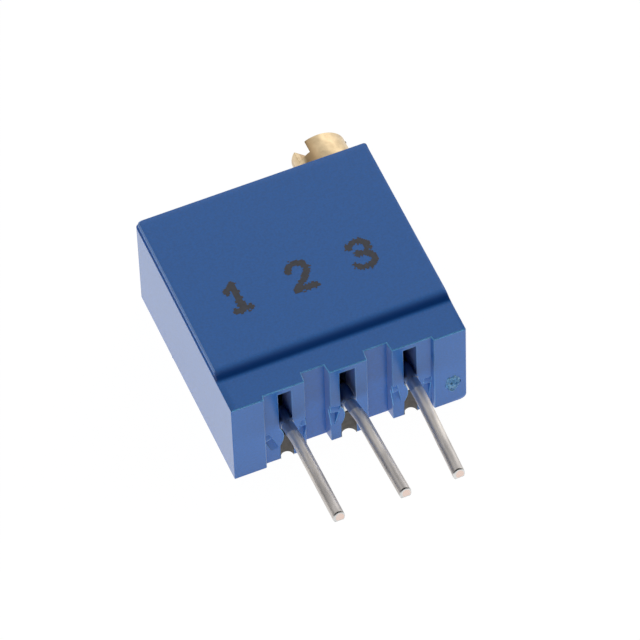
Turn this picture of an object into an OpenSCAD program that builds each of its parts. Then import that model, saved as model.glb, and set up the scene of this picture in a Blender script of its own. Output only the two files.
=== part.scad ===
// Trimmer potentiometer, square multi-turn cermet type, adjusted from the end opposite its pins.
// It lies on its back. +X runs along the row of pins, +Y towards the screw, +Z out of the marked face.
// The origin is on the middle pin's axis, in the plane of the two feet. Millimetres.

/* [Body] */
// Width along the row of pins
body_w = 9.53; // [9.45:0.01:9.65]
// Length from the feet to the screw end
body_l = 9.6; // [9.5:0.05:9.8]
// Thickness from the back to the marked face
body_t = 4.5; // [4.45:0.01:4.6]
// Height of the marked panel above the strip near the pins
panel_rise = 0.17; // [0.12:0.01:0.2]
// Length of the lower strip near the pins
strip_l = 1.34; // [1.3:0.01:1.4]
// Run of the soft shoulder between the strip and the panel
shoulder_l = 0.66; // [0.6:0.01:0.7]
// Width of the fine ledge along the panel's left edge
ledge_w = 0.06; // [0.05:0.01:0.09]
// Radius of the two corners at the screw end
corner_r = 0.2; // [0.15:0.01:0.25]
// Thickness of the side walls
side_wall = 0.6; // [0.58:0.01:0.62]
// Thickness of the wall behind the marked panel
front_wall = 0.7; // [0.65:0.01:0.72]
// Thickness of the wall at the screw end
end_wall = 0.75; // [0.72:0.01:0.8]

/* [Pin face] */
// Drop of the three pin pads below the feet
pad_drop = 0.18; // [0.12:0.01:0.22]
// Drop of the two pockets between the pads
pocket_drop = 0.6; // [0.55:0.01:0.65]
// Width of each foot
foot_w = 1.32; // [1.28:0.01:1.34]
// Width of each pocket
pocket_w = 0.92; // [0.85:0.01:0.95]
// Shift of the pockets towards the screw's side
pocket_shift = 0.04; // [0:0.01:0.06]
// Thickness of the wall under the pin pads, to the inner chamber
pad_wall = 0.97; // [0.95:0.01:1]
// Width of the two outer pin slots
slot_w = 0.53; // [0.53:0.01:0.56]
// Width of the middle pin slot
mid_slot_w = 0.62; // [0.6:0.01:0.64]
// Plastic left in front of a pin slot
slot_skin = 0.28; // [0.25:0.01:0.32]
// Distance from a pin's axis to the middle of a staking dent
stake_x = 0.66; // [0.6:0.01:0.7]
// Width of a staking dent
stake_w = 0.34; // [0.3:0.01:0.38]
// Height of a staking dent
stake_h = 1.1; // [1:0.01:1.15]
// Height of the staking dents' middle
stake_z = -0.85; // [-0.9:0.01:-0.8]
// Depth of a staking dent at its upper end
stake_depth = 0.2; // [0.12:0.01:0.24]
// How far the staking pressed the slots' walls in, beside a dent
stake_swell = 0.17; // [0.1:0.01:0.2]
// Diameter of the moulding gate mark on the right foot
gate_d = 0.64; // [0.5:0.01:0.7]
// Depth of the moulding gate mark
gate_depth = 0.05; // [0.03:0.01:0.07]
// Height of the moulding gate mark's middle
gate_z = -1.03; // [-1.1:0.01:-0.9]
// Run of the small step at each side of a pad
pad_step = 0.04; // [0.02:0.01:0.06]

/* [Pins] */
// Distance between neighbouring pins
pitch = 2.54; // [2.52:0.01:2.56]
// Diameter of a pin
pin_d = 0.51; // [0.48:0.01:0.51]
// Length of a pin below the feet
pin_l = 4.7; // [4.2:0.05:5.2]
// Depth of the flat on the back of a pin
pin_flat = 0.04; // [0.02:0.005:0.045]
// Bend radius of the pin's inner crank
bend_r = 0.3; // [0.29:0.005:0.31]
// Position of the crank's leg behind the feet
leg_y = 0.85; // [0.83:0.01:0.87]
// Length of the pin's foot on the ceramic
pin_foot_l = 0.9; // [0.85:0.01:0.92]
// Radius of the solder around a pin's foot
solder_r = 0.42; // [0.38:0.01:0.44]

/* [Element] */
// Thickness of the ceramic plate
ceramic_t = 0.64; // [0.6:0.01:0.66]
// Thickness of the sealing resin behind the ceramic
seal_t = 0.45; // [0.42:0.01:0.48]
// Width of the ledge that carries the ceramic
ceramic_ledge = 0.2; // [0.18:0.01:0.22]
// Gap around the ceramic
ceramic_gap = 0.05; // [0.03:0.01:0.06]
// Thickness of the printed films
film_t = 0.02; // [0.015:0.005:0.03]
// Width of the film pads under the pins' feet
film_pad_w = 0.9; // [0.85:0.01:0.95]
// Length of the film pads
film_pad_l = 0.84; // [0.8:0.01:0.88]
// Distance from the carrier's edge in to the resistive track's centre line
track_inset = 0.5; // [0.45:0.01:0.55]
// Width of the resistive track
track_w = 0.6; // [0.55:0.01:0.62]
// Width of the collector ring and of its lead
collector_w = 0.5; // [0.45:0.01:0.55]

/* [Screw] */
// Distance from the body's right side to the screw's axis
screw_side = 1.27; // [1.26:0.01:1.29]
// Height of the screw's axis above the pins' plane
screw_z = 0.2; // [0.18:0.01:0.22]
// Diameter of the screw's head
head_d = 2.24; // [2.1:0.01:2.3]
// Height of the screw's head above the body
head_l = 1.8; // [1.5:0.05:2]
// Width of the driver slot
driver_w = 0.6; // [0.5:0.01:0.65]
// Depth of the driver slot
driver_depth = 0.55; // [0.45:0.01:0.7]
// Direction of the driver slot at rest
driver_angle = 136; // [0:1:180]
// Radius of the screw's shaft
shaft_r = 0.82; // [0.81:0.005:0.825]
// Radius of the worm at mid thread
worm_pitch_r = 0.66; // [0.655:0.005:0.665]
// Radius of the worm's core
worm_core_r = 0.48; // [0.46:0.01:0.485]
// Turns of the worm's thread
worm_turns = 5.5; // [5:0.25:5.5]
// Radius of the screw's end journal
journal_r = 0.4; // [0.38:0.01:0.42]
// Radius at the bottom of the seal's groove and of the retainer's groove
groove_r = 0.55; // [0.54:0.005:0.56]
// Width of the seal's groove
seal_groove_w = 0.45; // [0.4:0.01:0.5]
// Thickness of the retainer
retainer_t = 0.25; // [0.22:0.01:0.27]
// Width of each arm of the retainer
retainer_arm = 0.25; // [0.22:0.01:0.26]
// Length of the boss below the end wall, which holds the retainer
boss_l = 0.7; // [0.68:0.01:0.75]
// Plastic around the shaft in that boss
boss_skin = 0.4; // [0.38:0.01:0.45]
// Height of the block that carries the end journal
block_l = 1.25; // [1.2:0.01:1.3]

/* [Wheel] */
// Thickness of the toothed rim
wheel_t = 0.9; // [0.86:0.01:0.92]
// Height of the teeth above the pitch line
tooth_rise = 0.15; // [0.13:0.01:0.15]
// Gap between the wheel and the chamber's side wall
wheel_side_gap = 0.18; // [0.15:0.01:0.22]
// Gap between the wheel and the chamber's end walls
wheel_end_gap = 0.36; // [0.34:0.01:0.38]
// Radius of the fixed pivot
pivot_r = 0.55; // [0.53:0.01:0.57]
// Thickness of the wheel's hub around the pivot
hub_wall = 0.8; // [0.75:0.01:0.85]
// Depth of the recess between the wheel's hub and its rim
web_recess = 0.25; // [0.2:0.01:0.3]
// Width of the toothed rim outside that recess
rim_w = 0.33; // [0.3:0.01:0.36]
// How far the wiper carrier's edge lies inside the wheel's pitch line
carrier_inset = 0.43; // [0.4:0.01:0.46]
// Thickness of the wiper carrier
carrier_t = 0.28; // [0.26:0.01:0.3]
// Length of the carrier's stop lug
lug_l = 0.3; // [0.26:0.01:0.3]
// Width of the carrier's stop lug
lug_w = 0.5; // [0.45:0.01:0.55]
// Thickness of the clutch spring
clutch_t = 0.07; // [0.06:0.01:0.08]
// Width of the clutch spring's ring
clutch_w = 0.9; // [0.8:0.01:0.95]
// Thickness of the wiper's spring sheet
wiper_t = 0.06; // [0.05:0.01:0.07]
// Length of the wiper's fingers
finger_l = 0.85; // [0.8:0.01:0.9]
// Width of a finger
finger_w = 0.16; // [0.14:0.01:0.18]
// Radius of a finger's rolled tip
finger_tip_r = 0.1; // [0.09:0.005:0.11]

/* [Clearances] */
// Radial running clearance of the screw and the wheel
run_gap = 0.03; // [0.02:0.005:0.04]
// Backlash on each tooth flank
flank_gap = 0.05; // [0.04:0.005:0.06]
// Axial clearance of the screw and the wheel
end_gap = 0.05; // [0.04:0.005:0.06]

/* [Hidden] */
half_w = body_w / 2;
front_z = body_t / 2;
back_z = -body_t / 2;
strip_z = front_z - panel_rise;
slot_top_z = strip_z - slot_skin;
chamber_z = front_z - front_wall;
ceramic_z = back_z + seal_t + ceramic_t;
film_z = ceramic_z + film_t;
chamber_x = half_w - side_wall;
chamber_y = pad_drop + pad_wall;
chamber_y2 = body_l - end_wall;
seat_x = chamber_x + ceramic_ledge;
seat_y = chamber_y - ceramic_ledge;
seat_y2 = chamber_y2 + ceramic_ledge;
slot_widths = [slot_w, mid_slot_w, slot_w];
// the staking dents: pin, side of it, width as a factor, shift upwards, tilt
stakes = [[0, -1, 0.9, -0.15, -20], [0, 1, 0.8, 0, 10], [1, -1, 1.3, 0.15, 14], [2, -1, 1.2, 0.05, -8],
    [2, 1, 0.85, -0.1, 6]];
// each is a large and a small wedge, with a crest between them: their lower and upper ends
stake_wedges = [[-0.5, 0.18], [0.24, 0.5]];
stake_slope = stake_depth / (stake_wedges[0][1] - stake_wedges[0][0]);
swell_h = stake_h;
swell_r = (swell_h * swell_h / 4 + stake_swell * stake_swell) / (2 * stake_swell);
pin_r = pin_d / 2;
swell_y = leg_y - pin_r - ceramic_gap;
pin_foot_z = film_z + pin_r;
// the screw, from its head inwards
screw_x = half_w - screw_side;
head_r = head_d / 2;
shaft_bore_r = shaft_r + run_gap + 0.01;
seal_mid = body_l - end_wall / 2;
boss_y = chamber_y2 - boss_l;
boss_x = screw_x - shaft_bore_r - boss_skin;
retainer_y = chamber_y2 - boss_l / 2 - retainer_t / 2;
retainer_half = groove_r + run_gap + retainer_arm;
retainer_z0 = ceramic_z + ceramic_ledge;
retainer_z1 = screw_z + shaft_r;
block_x = screw_x - journal_r - run_gap - boss_skin / 2;
// the largest wheel that clears the side wall and the end walls
teeth = 28;
wheel_pitch_r = min((screw_x - worm_pitch_r + chamber_x - wheel_side_gap - tooth_rise) / 2,
    (chamber_y2 - chamber_y) / 2 - wheel_end_gap - tooth_rise);
wheel_x = screw_x - worm_pitch_r - wheel_pitch_r;
wheel_y = (chamber_y + chamber_y2) / 2;
thread_pitch = 2 * PI * wheel_pitch_r / teeth;
worm_l = worm_turns * thread_pitch;
wheel_tip_r = wheel_pitch_r + tooth_rise;
wheel_root_r = screw_x - wheel_x - shaft_r - end_gap;
lead_turn = thread_pitch / (2 * PI * worm_pitch_r) * wheel_t / wheel_pitch_r * 180 / PI;
wheel_bore_r = pivot_r + run_gap;
hub_r = wheel_bore_r + hub_wall;
wheel_z0 = screw_z - wheel_t / 2;
// the carrier and the wiper, stacked below the wheel
carrier_r = wheel_pitch_r - carrier_inset;
carrier_z1 = wheel_z0 - clutch_t;
carrier_z0 = carrier_z1 - carrier_t;
wiper_z0 = carrier_z0 - wiper_t;
track_r = carrier_r - track_inset;
collector_r = track_r / 2;
// the films end on the pads, at these angles around the wheel's axis
track_a0 = -42;
track_a1 = 217;
pad_y0 = chamber_y + 0.01;
pad_y1 = pad_y0 + film_pad_l;
press_angle = 20;

// a cylinder whose axis runs along +Y
module y_rod(r, y0, y1, fn = 48) {
    translate([0, y0, 0]) rotate([-90, 0, 0]) cylinder(r = r, h = y1 - y0, $fn = fn);
}

// a box given by its two corners
module span(a, b) {
    translate(a) cube(b - a);
}

// the body's outline seen from the front, with feet, pads and pockets along its lower edge
module outline() {
    p = -pitch / 2 - pocket_w / 2 + pocket_shift;
    q = pitch / 2 - pocket_w / 2 + pocket_shift;
    union() {
        polygon([[-half_w, 0], [-half_w + foot_w, 0], [-half_w + foot_w + pad_step, pad_drop],
            [p - pad_step, pad_drop], [p, pocket_drop], [p + pocket_w, pocket_drop],
            [p + pocket_w + pad_step, pad_drop], [q - pad_step, pad_drop], [q, pocket_drop],
            [q + pocket_w, pocket_drop], [q + pocket_w + pad_step, pad_drop],
            [half_w - foot_w - pad_step, pad_drop], [half_w - foot_w, 0], [half_w, 0],
            [half_w, body_l - corner_r], [half_w - corner_r, body_l], [-half_w + corner_r, body_l],
            [-half_w, body_l - corner_r]]);
        for (s = [-1, 1]) translate([s * (half_w - corner_r), body_l - corner_r]) circle(r = corner_r, $fn = 48);
    }
}

// the raised panel, with its soft shoulder towards the pins and its fine ledge on the left
module panel() {
    turn = 2 * atan(panel_rise / shoulder_l);
    radii = shoulder_l / sin(turn);
    foot_r = 0.3 * radii;
    top_r = 0.7 * radii;
    curve = concat([for (i = [0:4]) [strip_l + foot_r * sin(turn * i / 4), foot_r * (1 - cos(turn * i / 4))]],
        [for (i = [7:-1:0]) [strip_l + shoulder_l - top_r * sin(turn * i / 8),
            panel_rise - top_r * (1 - cos(turn * i / 8))]]);
    x0 = -half_w + ledge_w;
    intersection() {
        translate([x0, 0, strip_z]) rotate([90, 0, 90]) linear_extrude(height = half_w - x0)
            polygon(concat([[strip_l, -0.1]], curve, [[body_l, panel_rise], [body_l, -0.1]]));
        translate([0, 0, strip_z - 0.1]) linear_extrude(height = panel_rise + 0.2) union() {
            polygon([[x0, 0], [half_w, 0], [half_w, body_l - corner_r], [half_w - corner_r, body_l],
                [x0 + corner_r, body_l], [x0, body_l - corner_r]]);
            translate([half_w - corner_r, body_l - corner_r]) circle(r = corner_r, $fn = 48);
            translate([x0 + corner_r, body_l - corner_r]) circle(r = corner_r, $fn = 48);
        }
    }
}

// wedge-shaped dents that the pin staking left in the pads, deepest at their upper ends
module stake_dents() {
    for (d = stakes) for (w = stake_wedges)
        translate([(d[0] - 1) * pitch + d[1] * stake_x, pad_drop, stake_z + d[3]]) rotate([0, d[4], 0])
            translate([-d[2] * stake_w / 2, 0, 0]) rotate([90, 0, 90]) linear_extrude(height = d[2] * stake_w)
                polygon([[-0.1, w[0] * stake_h], [-0.1, w[1] * stake_h],
                    [(w[1] - w[0]) * stake_slope, w[1] * stake_h], [0, w[0] * stake_h]]);
}

// the slot of one pin, narrower where the staking pressed its walls in
module pin_slot(i, y0, y1, z0, z1) {
    translate([(i - 1) * pitch, 0, 0]) difference() {
        span([-slot_widths[i] / 2, y0, z0], [slot_widths[i] / 2, y1, z1]);
        for (d = stakes) if (d[0] == i)
            translate([d[1] * (slot_widths[i] / 2 + swell_r - stake_swell), 0, stake_z])
                y_rod(swell_r, y0 - 0.1, swell_y);
    }
}

module housing() {
    color([0.13, 0.27, 0.52]) difference() {
        union() {
            difference() {
                union() {
                    translate([0, 0, back_z]) linear_extrude(height = strip_z - back_z) outline();
                    panel();
                }
                span([-chamber_x, chamber_y, ceramic_z - 0.1], [chamber_x, chamber_y2, chamber_z]);
                span([-seat_x, seat_y, back_z - 0.1], [seat_x, seat_y2, ceramic_z]);
                translate([screw_x, 0, screw_z]) y_rod(shaft_bore_r + 0.04, chamber_y + 0.01, chamber_y2);
            }
            // boss around the shaft
            span([boss_x, boss_y, retainer_z0 - 0.05], [chamber_x + 0.05, chamber_y2 + 0.05, chamber_z + 0.05]);
            // block for the end journal
            span([block_x, chamber_y - 0.05, screw_z - boss_skin / 2 - journal_r],
                [chamber_x + side_wall / 2, chamber_y + block_l, chamber_z + 0.05]);
            // pivot of the wheel
            translate([wheel_x, wheel_y, ceramic_z + ceramic_ledge])
                cylinder(r = pivot_r, h = chamber_z - ceramic_z - ceramic_ledge + 0.05, $fn = 48);
            // stop for the wiper carrier
            span([-pitch / 2 - lug_w / 2, chamber_y - 0.05, wiper_z0],
                [-pitch / 2 + lug_w / 2, wheel_y - carrier_r - lug_l / 2, wheel_z0 - end_gap]);
        }
        translate([screw_x, 0, screw_z]) {
            y_rod(shaft_bore_r, boss_y - 0.1, body_l + 0.1, 64);
            y_rod(journal_r + run_gap, chamber_y + wheel_end_gap - end_gap, chamber_y + block_l + 0.1);
        }
        // slot for the retainer
        span([screw_x - retainer_half - 0.02, retainer_y - 0.01, retainer_z0 - 0.1],
            [screw_x + retainer_half + 0.02, retainer_y + retainer_t + 0.01, retainer_z1 + 0.02]);
        // slots for the pins
        for (i = [0:2]) pin_slot(i, -0.1, chamber_y + 0.1, back_z - 0.1, slot_top_z);
        stake_dents();
        // gate mark
        translate([half_w - foot_w / 2 + 0.1, 0, gate_z]) y_rod(gate_d / 2, -0.1, gate_depth, 32);
    }
}

module potting_seal() {
    color([0.36, 0.35, 0.33]) union() {
        span([-seat_x, seat_y, back_z], [seat_x, seat_y2, back_z + seal_t]);
        for (i = [0:2]) difference() {
            pin_slot(i, pad_drop, seat_y + 0.02, back_z, ceramic_z - 0.02);
            span([-seat_x, seat_y, back_z + seal_t], [seat_x, seat_y + 0.1, ceramic_z]);
            translate([(i - 1) * pitch, pad_drop, back_z - 0.1])
                cylinder(r = slot_widths[i] / 2 - 0.01, h = body_t, $fn = 32);
        }
    }
}

module ceramic_element() {
    color([0.9, 0.89, 0.85])
        span([-seat_x + ceramic_gap, seat_y + ceramic_gap, back_z + seal_t],
            [seat_x - ceramic_gap, seat_y2 - ceramic_gap, ceramic_z]);
}

// a flat ring sector around the wheel's axis
module sector(r, w, a0, a1) {
    translate([wheel_x, wheel_y, ceramic_z]) rotate([0, 0, a0])
        rotate_extrude(angle = a1 - a0, $fn = 96) translate([r - w / 2, 0]) square([w, film_t]);
}

module resistive_track() {
    color([0.12, 0.11, 0.1]) sector(track_r, track_w, track_a0, track_a1);
}

module collector_track() {
    color([0.72, 0.7, 0.66]) union() {
        translate([wheel_x, wheel_y, ceramic_z]) difference() {
            cylinder(r = collector_r + collector_w / 2, h = film_t, $fn = 96);
            translate([0, 0, -0.1]) cylinder(r = collector_r - collector_w / 2, h = 1, $fn = 96);
        }
        translate([0, 0, ceramic_z]) linear_extrude(height = film_t)
            polygon([[-film_pad_w / 2, pad_y0], [film_pad_w / 2, pad_y0], [film_pad_w / 2, pad_y1],
                [wheel_x + collector_w / 2, wheel_y - collector_r], [wheel_x - collector_w / 2, wheel_y - collector_r],
                [-film_pad_w / 2, pad_y1]]);
    }
}

// the point at radius r on the track's end edge
function end_pt(r, a) = [wheel_x + r * cos(a), wheel_y + r * sin(a)];

// an end conductor: a pad under the pin's foot, and a lead to the end of the track
module termination(side, a) {
    near = side * (pitch - film_pad_w / 2);
    far = side * (pitch + film_pad_w / 2);
    color([0.78, 0.76, 0.72]) translate([0, 0, ceramic_z]) linear_extrude(height = film_t)
        polygon([end_pt(track_r + track_w / 2, a), end_pt(track_r - track_w / 2, a), [near, pad_y1],
            [near, pad_y0], [far, pad_y0], [far, pad_y1]]);
}

module termination_1() { termination(-1, track_a1); }

module termination_3() { termination(1, track_a0); }

// the section of a pin's inner part, which is pressed to eight flats
module pressed() {
    polygon([for (k = [0:7]) pin_r / cos(22.5) * [cos(45 * k + 22.5), sin(45 * k + 22.5)]]);
}

// a pin: a straight round wire in front, pressed and cranked back inside, its foot flat on the ceramic
module pin(i) {
    drop = -pin_foot_z;
    color([0.74, 0.73, 0.7]) translate([(i - 2) * pitch, 0, 0]) union() {
        difference() {
            y_rod(pin_r, -pin_l, 0, 32);
            span([-pin_d, -pin_l - pin_d, -pin_d], [pin_d, pin_d, -pin_r + pin_flat]);
        }
        rotate([-90, 0, 0]) linear_extrude(height = leg_y - bend_r) pressed();
        translate([0, leg_y - bend_r, -bend_r]) rotate([0, 90, 0]) rotate([0, 0, 90])
            rotate_extrude(angle = 90, $fn = 48) translate([bend_r, 0]) pressed();
        translate([0, leg_y, -drop + bend_r]) linear_extrude(height = drop - 2 * bend_r) pressed();
        translate([0, leg_y + bend_r, -drop + bend_r]) rotate([0, 90, 0]) rotate([0, 0, -90])
            rotate_extrude(angle = 90, $fn = 48) translate([bend_r, 0]) pressed();
        translate([0, leg_y + bend_r, -drop]) rotate([-90, 0, 0])
            linear_extrude(height = pin_foot_l - bend_r) pressed();
    }
}

module pin_1() { pin(1); }

module pin_2() { pin(2); }

module pin_3() { pin(3); }

// the solder that lies around a pin's foot on its pad
module solder(i) {
    color([0.8, 0.8, 0.79]) translate([(i - 2) * pitch, 0, pin_foot_z]) difference() {
        y_rod(solder_r, leg_y + bend_r + 0.02, leg_y + pin_foot_l + 0.04, 40);
        span([-pin_d, 0, -pin_d], [pin_d, 2 * pin_foot_l, -pin_r]);
        rotate([-90, 0, 0]) linear_extrude(height = leg_y + pin_foot_l) pressed();
    }
}

module solder_1() { solder(1); }

module solder_2() { solder(2); }

module solder_3() { solder(3); }

// the worm's thread: a trapezoid swept along a right-hand helix around +Y
module worm_thread(len) {
    steps = 24;
    n = round(len / thread_pitch * steps);
    half_mid = thread_pitch / 4 - flank_gap / 2;
    half_tip = half_mid - (shaft_r - worm_pitch_r) * tan(press_angle);
    root_r = worm_core_r - 0.03;
    half_root = half_mid + (worm_pitch_r - root_r) * tan(press_angle);
    prof = [[root_r, -half_root], [shaft_r, -half_tip], [shaft_r, half_tip], [root_r, half_root]];
    // a crest stands at the wheel's height on the wheel's side, where the angle is -90
    pts = [for (k = [0:n]) let (f = (k - n / 2) * 360 / steps - 90, y = (k - n / 2) * thread_pitch / steps)
        for (c = prof) [c[0] * sin(f), y + c[1], c[0] * cos(f)]];
    faces = concat([[3, 2, 1, 0]], [[4 * n, 4 * n + 1, 4 * n + 2, 4 * n + 3]],
        [for (k = [0:n - 1]) for (j = [0:3]) let (a = 4 * k + j, b = 4 * k + (j + 1) % 4) [a, b, a + 4]],
        [for (k = [0:n - 1]) for (j = [0:3]) let (a = 4 * k + j, b = 4 * k + (j + 1) % 4) [b, b + 4, a + 4]]);
    polyhedron(points = pts, faces = faces, convexity = 8);
}

module adjuster_screw() {
    color([0.78, 0.66, 0.42]) translate([screw_x, 0, screw_z]) difference() {
        union() {
            y_rod(head_r, body_l + end_gap, body_l + head_l, 64);
            y_rod(shaft_r, boss_y - end_gap, body_l + end_gap + 0.1, 64);
            y_rod(worm_core_r, chamber_y + block_l + end_gap, boss_y);
            y_rod(journal_r, chamber_y + wheel_end_gap, chamber_y + block_l + 0.1);
            translate([0, wheel_y, 0]) worm_thread(worm_l);
        }
        for (g = [[retainer_y - 0.03, retainer_t + 0.06], [seal_mid - seal_groove_w / 2, seal_groove_w]])
            translate([0, g[0], 0]) rotate([-90, 0, 0]) difference() {
                cylinder(r = shaft_r + 0.1, h = g[1], $fn = 64);
                translate([0, 0, -0.1]) cylinder(r = groove_r, h = 1, $fn = 48);
            }
        rotate([0, -driver_angle, 0])
            span([-2, body_l + head_l - driver_depth, -driver_w / 2], [2, body_l + head_l + 1, driver_w / 2]);
    }
}

module shaft_seal() {
    r0 = groove_r + 0.02;
    section = (shaft_bore_r - r0) / 2;
    color([0.08, 0.08, 0.08]) translate([screw_x, seal_mid, screw_z]) rotate([-90, 0, 0])
        rotate_extrude($fn = 64) translate([r0 + section, 0]) circle(r = section, $fn = 24);
}

module screw_retainer() {
    color([0.7, 0.71, 0.72]) translate([screw_x, retainer_y, screw_z]) difference() {
        span([-retainer_half, 0, retainer_z0 - screw_z], [retainer_half, retainer_t, retainer_z1 - screw_z]);
        y_rod(groove_r + run_gap, -0.1, 1);
        span([-groove_r - run_gap, -0.1, 0], [groove_r + run_gap, 1, 2]);
    }
}

// involute of an angle in degrees
function inv(a) = tan(a) - a * PI / 180;

// half the angle that a tooth spans at radius r
function half_tooth(r) = let (base = wheel_pitch_r * cos(press_angle))
    (PI / (2 * teeth) - flank_gap / 2 / wheel_pitch_r + inv(press_angle)
        - inv(r > base ? acos(base / r) : 0)) * 180 / PI;

module wheel_outline() {
    levels = [for (k = [0:4]) wheel_root_r + (wheel_tip_r - wheel_root_r) * k / 4];
    polygon([for (t = [0:teeth - 1]) let (a = (t + 0.5) * 360 / teeth) each concat(
        [for (r = levels) [r * cos(a - half_tooth(r)), r * sin(a - half_tooth(r))]],
        [for (k = [4:-1:0]) let (r = levels[k]) [r * cos(a + half_tooth(r)), r * sin(a + half_tooth(r))]])]);
}

module worm_wheel() {
    color([0.86, 0.84, 0.78]) translate([wheel_x, wheel_y, 0]) difference() {
        union() {
            translate([0, 0, wheel_z0]) rotate([0, 0, -lead_turn / 2])
                linear_extrude(height = wheel_t, twist = -lead_turn, slices = 4) wheel_outline();
            translate([0, 0, screw_z]) cylinder(r = hub_r, h = chamber_z - end_gap - screw_z, $fn = 64);
        }
        translate([0, 0, wheel_z0 - 0.1]) cylinder(r = wheel_bore_r, h = 4, $fn = 48);
        translate([0, 0, wheel_z0 + wheel_t - web_recess]) difference() {
            cylinder(r = wheel_root_r - rim_w, h = 1, $fn = 64);
            translate([0, 0, -0.1]) cylinder(r = hub_r, h = 2, $fn = 64);
        }
    }
}

module clutch_spring() {
    color([0.75, 0.62, 0.4]) translate([wheel_x, wheel_y, carrier_z1]) difference() {
        cylinder(r = hub_r + clutch_w / 2, h = clutch_t, $fn = 64);
        translate([0, 0, -0.1]) cylinder(r = hub_r - clutch_w / 2, h = 1, $fn = 64);
    }
}

module wiper_carrier() {
    color([0.2, 0.2, 0.21]) translate([wheel_x, wheel_y, carrier_z0]) difference() {
        union() {
            cylinder(r = carrier_r, h = carrier_t, $fn = 96);
            intersection() {
                cylinder(r = carrier_r + lug_l, h = carrier_t, $fn = 96);
                span([-lug_w / 2, 0, 0], [lug_w / 2, carrier_r + 1, carrier_t]);
            }
        }
        translate([0, 0, -0.1]) cylinder(r = wheel_bore_r, h = 1, $fn = 48);
    }
}

// the wiper: a spring sheet under the carrier, with sprung fingers that end on the films
module wiper_contact() {
    tip_z = film_z + 0.004 + finger_tip_r - wiper_z0;
    gap = 0.04;
    color([0.85, 0.74, 0.5]) translate([wheel_x, wheel_y, wiper_z0]) union() {
        span([-finger_l - collector_w / 2 - 0.15, collector_r - finger_w - gap, 0],
            [-finger_l, track_r + finger_w + gap, wiper_t]);
        for (r = [collector_r, track_r]) for (side = [-1, 1])
            translate([0, r + side * (finger_w / 2 + gap) + finger_w / 2, 0]) rotate([90, 0, 0])
                linear_extrude(height = finger_w) union() {
                    polygon([[-finger_l - 0.1, wiper_t], [-finger_l - 0.1, 0], [-finger_l, 0],
                        [0, tip_z - wiper_t], [0, tip_z + wiper_t], [-finger_l + 0.05, wiper_t]]);
                    translate([0, tip_z]) circle(r = finger_tip_r, $fn = 24);
                }
    }
}

housing();
potting_seal();
ceramic_element();
resistive_track();
collector_track();
termination_1();
termination_3();
pin_1();
pin_2();
pin_3();
solder_1();
solder_2();
solder_3();
adjuster_screw();
shaft_seal();
screw_retainer();
worm_wheel();
clutch_spring();
wiper_carrier();
wiper_contact();
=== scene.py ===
"""Looks for the trimmer potentiometer: materials, small moulding details, marking, light and camera.

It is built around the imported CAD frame. Lengths in the named values are millimetres, and MM turns them
into the frame's metres. +X runs along the row of pins, +Y towards the screw, +Z out of the marked face.
"""

import math
import random

import bmesh
import bpy
from mathutils import Matrix, Vector, noise as mathnoise


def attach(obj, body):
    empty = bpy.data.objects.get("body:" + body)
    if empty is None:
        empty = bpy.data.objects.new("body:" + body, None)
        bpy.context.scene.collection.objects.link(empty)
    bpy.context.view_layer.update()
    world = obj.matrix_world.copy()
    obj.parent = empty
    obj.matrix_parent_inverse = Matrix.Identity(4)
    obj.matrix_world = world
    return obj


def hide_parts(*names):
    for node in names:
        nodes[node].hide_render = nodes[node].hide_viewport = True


MM = 0.001
SEED = 11
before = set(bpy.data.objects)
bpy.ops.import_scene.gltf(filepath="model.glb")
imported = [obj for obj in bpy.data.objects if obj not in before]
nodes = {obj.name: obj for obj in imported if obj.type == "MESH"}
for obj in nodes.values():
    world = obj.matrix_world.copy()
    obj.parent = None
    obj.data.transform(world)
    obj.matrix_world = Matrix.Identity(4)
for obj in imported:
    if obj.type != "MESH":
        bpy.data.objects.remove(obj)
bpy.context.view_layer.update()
scene = bpy.context.scene
random.seed(SEED)


# Shader helpers
def material(name, color, rough, metal=0.0, specular=0.5):
    """A node material with one Principled shader; returns the material, its tree and the shader."""
    mat = bpy.data.materials.new(name)
    mat.use_nodes = True
    tree = mat.node_tree
    shader = tree.nodes["Principled BSDF"]
    shader.inputs["Base Color"].default_value = (*color, 1)
    shader.inputs["Roughness"].default_value = rough
    shader.inputs["Metallic"].default_value = metal
    shader.inputs["Specular IOR Level"].default_value = specular
    return mat, tree, shader


def place(tree):
    """The piece's own X, Y and Z, in metres, as the outputs of one node."""
    coord = tree.nodes.new("ShaderNodeTexCoord")
    split = tree.nodes.new("ShaderNodeSeparateXYZ")
    tree.links.new(coord.outputs["Object"], split.inputs["Vector"])
    return split.outputs


def noise(tree, per_mm, detail=2.0, roughness=0.5, stretch=(1, 1, 1)):
    """Noise fixed to the piece, with about per_mm grains in each millimetre."""
    coord = tree.nodes.new("ShaderNodeTexCoord")
    mapping = tree.nodes.new("ShaderNodeMapping")
    mapping.inputs["Scale"].default_value = [s * per_mm / MM for s in stretch]
    tex = tree.nodes.new("ShaderNodeTexNoise")
    tex.inputs["Scale"].default_value = 1.0
    tex.inputs["Detail"].default_value = detail
    tex.inputs["Roughness"].default_value = roughness
    tree.links.new(coord.outputs["Object"], mapping.inputs["Vector"])
    tree.links.new(mapping.outputs["Vector"], tex.inputs["Vector"])
    return tex.outputs["Fac"]


def ramp(tree, value, stops):
    """A colour ramp over value; stops are (place, colour)."""
    node = tree.nodes.new("ShaderNodeValToRGB")
    elements = node.color_ramp.elements
    for element, (at, color) in zip(elements, (stops[0], stops[-1])):
        element.position = at
        element.color = (*color, 1)
    for at, color in stops[1:-1]:
        elements.new(at).color = (*color, 1)
    tree.links.new(value, node.inputs["Fac"])
    return node.outputs["Color"]


def mottle(tree, shader, grains, stops, socket="Base Color"):
    """Drives one of the shader's sockets by a ramp over noise."""
    tree.links.new(ramp(tree, grains, stops), shader.inputs[socket])


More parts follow.
